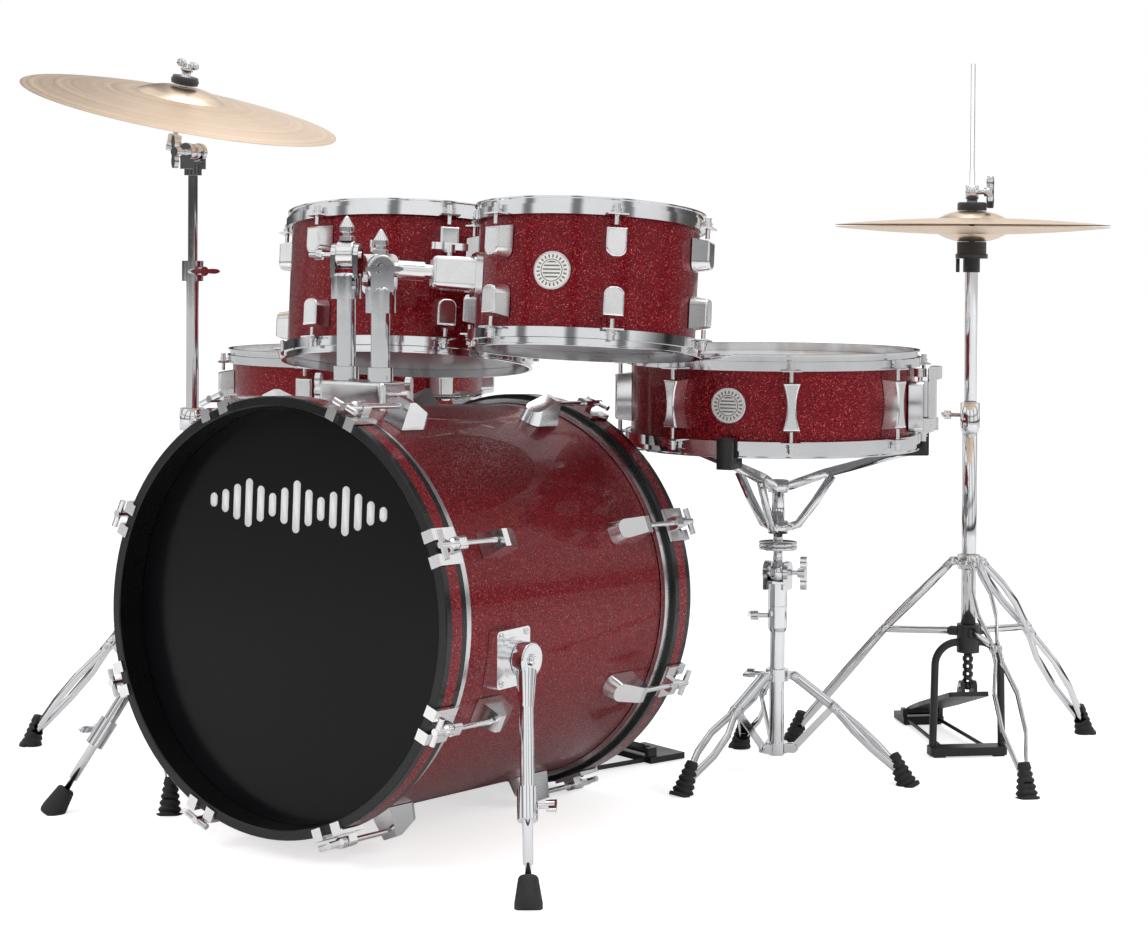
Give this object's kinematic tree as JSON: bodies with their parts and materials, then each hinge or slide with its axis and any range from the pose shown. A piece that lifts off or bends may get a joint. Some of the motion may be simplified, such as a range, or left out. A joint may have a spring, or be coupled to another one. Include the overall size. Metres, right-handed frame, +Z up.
{
  "type": "acoustic drum kit",
  "caption": "Acoustic drum kit: bass drum with two hung toms, floor tom, snare and hi-hat on folding stands, and a crash on a boom-free stand.",
  "frame": {"origin": "on the floor, under the middle of the whole kit", "axes": "+Z up; -Y the way the bass drum faces, towards the listener; +X towards the hi-hat side"},
  "size_m": [1.2324, 1.1868, 0.91],
  "materials": {
    "red_sparkle": "glossy sparkle wrap",
    "black_hoop": "black lacquer with a sparkle inlay",
    "drum_head": "coated film",
    "black_head": "black film",
    "chrome": "polished",
    "steel": "plain",
    "black_metal": "black powder coat",
    "bronze": "lathed bronze",
    "rubber": "ribbed"
  },
  "bodies": {
    "kit": {"bass_shell": "red_sparkle", "bass_hoops": "black_hoop", "bass_heads": "black_head", "bass_lugs": "chrome", "bass_claws": "chrome", "tom_mount": "chrome", "spur_brackets": "chrome", "floor_tom_shell": "red_sparkle", "floor_tom_heads": "drum_head", "floor_tom_hoops": "chrome", "floor_tom_lugs": "chrome", "snare_stand_tube": "chrome", "hihat_base": "black_metal", "hihat_tripod": "chrome", "cymbal_stand_base": "chrome", "kick_pedal_frame": "black_metal"},
    "snare": {"snare_basket": "chrome", "snare_shell": "red_sparkle", "snare_heads": "drum_head", "snare_hoops": "chrome", "snare_lugs": "chrome", "snare_strainer": "chrome", "snare_wires": "steel"},
    "hihat_height": {"hihat_height_tube": "chrome", "hihat_bottom_cymbal": "bronze"},
    "hihat_rod": {"hihat_pull_rod": "steel", "hihat_top_cymbal": "bronze"},
    "small_tom": {"small_tom_shell": "red_sparkle", "small_tom_heads": "drum_head", "small_tom_hoops": "chrome", "small_tom_lugs": "chrome"},
    "large_tom": {"large_tom_shell": "red_sparkle", "large_tom_heads": "drum_head", "large_tom_hoops": "chrome", "large_tom_lugs": "chrome"},
    "right_spur_leg": {"right_spur_leg": "chrome"},
    "left_spur_leg": {"left_spur_leg": "chrome"},
    "right_spur_foot": {"right_spur_foot": "rubber"},
    "left_spur_foot": {"left_spur_foot": "rubber"},
    "small_tom_post": {"small_tom_post": "chrome"},
    "small_tom_arm": {"small_tom_arm": "chrome"},
    "large_tom_post": {"large_tom_post": "chrome"},
    "large_tom_arm": {"large_tom_arm": "chrome"},
    "floor_tom_legs": {"floor_tom_legs": "chrome"},
    "snare_throw_lever": {"snare_throw_lever": "chrome"},
    "snare_stand_collar": {"snare_stand_collar": "chrome"},
    "snare_stand_leg_1": {"snare_stand_leg_1": "chrome"},
    "snare_stand_brace_1": {"snare_stand_brace_1": "chrome"},
    "snare_stand_leg_2": {"snare_stand_leg_2": "chrome"},
    "snare_stand_brace_2": {"snare_stand_brace_2": "chrome"},
    "snare_stand_leg_3": {"snare_stand_leg_3": "chrome"},
    "snare_stand_brace_3": {"snare_stand_brace_3": "chrome"},
    "snare_stand_height_tube": {"snare_stand_height_tube": "chrome"},
    "hihat_pedal": {"hihat_pedal": "black_metal"},
    "cymbal_stand_mid_tube": {"cymbal_stand_mid_tube": "chrome"},
    "cymbal_stand_top_tube": {"cymbal_stand_top_tube": "chrome"},
    "cymbal_tilter": {"cymbal_tilter": "chrome"},
    "crash_cymbal": {"crash_cymbal": "bronze"},
    "kick_pedal_board": {"kick_pedal_board": "black_metal"},
    "kick_pedal_beater": {"kick_pedal_beater": "steel"}
  },
  "joints": [
    {"name": "small_tom_post_height", "type": "slide", "parent": "kit", "child": "small_tom_post", "axis": [0, 0, 1], "range_m": [0, 0.04]},
    {"name": "small_tom_tilt", "type": "hinge", "parent": "small_tom_post", "child": "small_tom_arm", "pos_m": [0.06924, -0.4217, 0.64105], "axis": [0.7134, -0.7008, 0], "range_deg": [0, 12]},
    {"name": "small_tom_reach", "type": "slide", "parent": "small_tom_arm", "child": "small_tom", "axis": [0.6994, 0.712, -0.063], "range_m": [0, 0.02]},
    {"name": "large_tom_post_height", "type": "slide", "parent": "kit", "child": "large_tom_post", "axis": [0, 0, 1], "range_m": [0, 0.04]},
    {"name": "large_tom_tilt", "type": "hinge", "parent": "large_tom_post", "child": "large_tom_arm", "pos_m": [0.01923, -0.4217, 0.65627], "axis": [0.9075, 0.4201, 0], "range_deg": [0, 12]},
    {"name": "large_tom_reach", "type": "slide", "parent": "large_tom_arm", "child": "large_tom", "axis": [-0.4151, 0.8968, -0.153], "range_m": [0, 0.02]},
    {"name": "right_spur_fold", "type": "hinge", "parent": "kit", "child": "right_spur_leg", "pos_m": [0.30023, -0.4587, 0.227], "axis": [-1, 0, 0], "range_deg": [0, 75]},
    {"name": "right_spur_length", "type": "slide", "parent": "right_spur_leg", "child": "right_spur_foot", "axis": [-0.3235, 0.4276, 0.8441], "range_m": [0, 0.03]},
    {"name": "left_spur_fold", "type": "hinge", "parent": "kit", "child": "left_spur_leg", "pos_m": [-0.21177, -0.4587, 0.227], "axis": [-1, 0, 0], "range_deg": [0, 75]},
    {"name": "left_spur_length", "type": "slide", "parent": "left_spur_leg", "child": "left_spur_foot", "axis": [0.3235, 0.4276, 0.8441], "range_m": [0, 0.03]},
    {"name": "floor_tom_height", "type": "slide", "parent": "kit", "child": "floor_tom_legs", "axis": [0, 0, 1], "range_m": [0, 0.08]},
    {"name": "snare_throw_off", "type": "hinge", "parent": "snare", "child": "snare_throw_lever", "pos_m": [0.48243, 0.14461, 0.45], "axis": [-0.2368, 0.9715, 0], "range_deg": [0, 100]},
    {"name": "snare_height", "type": "slide", "parent": "kit", "child": "snare_stand_height_tube", "axis": [0, 0, 1], "range_m": [0, 0.06]},
    {"name": "snare_tilt", "type": "hinge", "parent": "snare_stand_height_tube", "child": "snare", "pos_m": [0.29124, 0.1013, 0.258], "axis": [-0.9724, -0.2334, 0], "range_deg": [0, 15]},
    {"name": "snare_collar_slide", "type": "slide", "parent": "kit", "child": "snare_stand_collar", "axis": [0, 0, 1], "range_m": [0, 0.042]},
    {"name": "snare_leg_1_fold", "type": "hinge", "parent": "snare_stand_collar", "child": "snare_stand_leg_1", "pos_m": [0.28599, 0.07993, 0.128], "axis": [0.9711, -0.2385, 0], "range_deg": [0, 39.31]},
    {"name": "snare_brace_1_fold", "type": "hinge", "parent": "kit", "child": "snare_stand_brace_1", "pos_m": [0.28599, 0.07993, 0.036], "axis": [-0.9711, 0.2385, 0], "range_deg": [0, 29.64]},
    {"name": "snare_leg_2_fold", "type": "hinge", "parent": "snare_stand_collar", "child": "snare_stand_leg_2", "pos_m": [0.31236, 0.10744, 0.128], "axis": [-0.279, 0.9603, 0], "range_deg": [0, 39.31]},
    {"name": "snare_brace_2_fold", "type": "hinge", "parent": "kit", "child": "snare_stand_brace_2", "pos_m": [0.31236, 0.10744, 0.036], "axis": [0.279, -0.9603, 0], "range_deg": [0, 29.64]},
    {"name": "snare_leg_3_fold", "type": "hinge", "parent": "snare_stand_collar", "child": "snare_stand_leg_3", "pos_m": [0.27536, 0.11653, 0.128], "axis": [-0.6921, -0.7218, 0], "range_deg": [0, 39.31]},
    {"name": "snare_brace_3_fold", "type": "hinge", "parent": "kit", "child": "snare_stand_brace_3", "pos_m": [0.27536, 0.11653, 0.036], "axis": [0.6921, 0.7218, 0], "range_deg": [0, 29.64]},
    {"name": "hihat_height", "type": "slide", "parent": "kit", "child": "hihat_height", "axis": [0, 0, 1], "range_m": [0, 0.1]},
    {"name": "hihat_open", "type": "slide", "parent": "hihat_height", "child": "hihat_rod", "axis": [0, 0, 1], "range_m": [0, 0.02]},
    {"name": "hihat_pedal_lift", "type": "hinge", "parent": "kit", "child": "hihat_pedal", "pos_m": [0.29812, 0.50267, 0.019], "axis": [-0.7361, -0.6769, 0], "range_deg": [0, 5.6]},
    {"name": "crash_lower_height", "type": "slide", "parent": "kit", "child": "cymbal_stand_mid_tube", "axis": [0, 0, 1], "range_m": [0, 0.15]},
    {"name": "crash_upper_height", "type": "slide", "parent": "cymbal_stand_mid_tube", "child": "cymbal_stand_top_tube", "axis": [0, 0, 1], "range_m": [0, 0.15]},
    {"name": "crash_tilt", "type": "hinge", "parent": "cymbal_stand_top_tube", "child": "cymbal_tilter", "pos_m": [-0.34476, -0.2907, 0.784], "axis": [0, -1, 0], "range_deg": [0, 45]},
    {"name": "crash_spin", "type": "hinge", "parent": "cymbal_tilter", "child": "crash_cymbal", "pos_m": [-0.37377, -0.2847, 0.84], "axis": [0.2531, -0.021, 0.9672], "continuous": true},
    {"name": "kick_board_press", "type": "hinge", "parent": "kit", "child": "kick_pedal_board", "pos_m": [0.09418, 0.07413, 0.017], "axis": [0.9563, -0.2924, 0], "range_deg": [0, 10]},
    {"name": "kick_beater_swing", "type": "hinge", "parent": "kit", "child": "kick_pedal_beater", "pos_m": [0.05091, -0.0674, 0.112], "axis": [0.9563, -0.2924, 0], "range_deg": [0, 44.05]}
  ],
  "couplings": [
    {"joint": "snare_leg_1_fold", "follows": "snare_collar_slide", "rad_per_m": 16.294},
    {"joint": "snare_brace_1_fold", "follows": "snare_collar_slide", "rad_per_m": 12.276},
    {"joint": "snare_leg_2_fold", "follows": "snare_collar_slide", "rad_per_m": 16.294},
    {"joint": "snare_brace_2_fold", "follows": "snare_collar_slide", "rad_per_m": 12.276},
    {"joint": "snare_leg_3_fold", "follows": "snare_collar_slide", "rad_per_m": 16.294},
    {"joint": "snare_brace_3_fold", "follows": "snare_collar_slide", "rad_per_m": 12.276},
    {"joint": "hihat_pedal_lift", "follows": "hihat_open", "rad_per_m": 4.8309},
    {"joint": "kick_beater_swing", "follows": "kick_board_press", "ratio": 4.4}
  ]
}
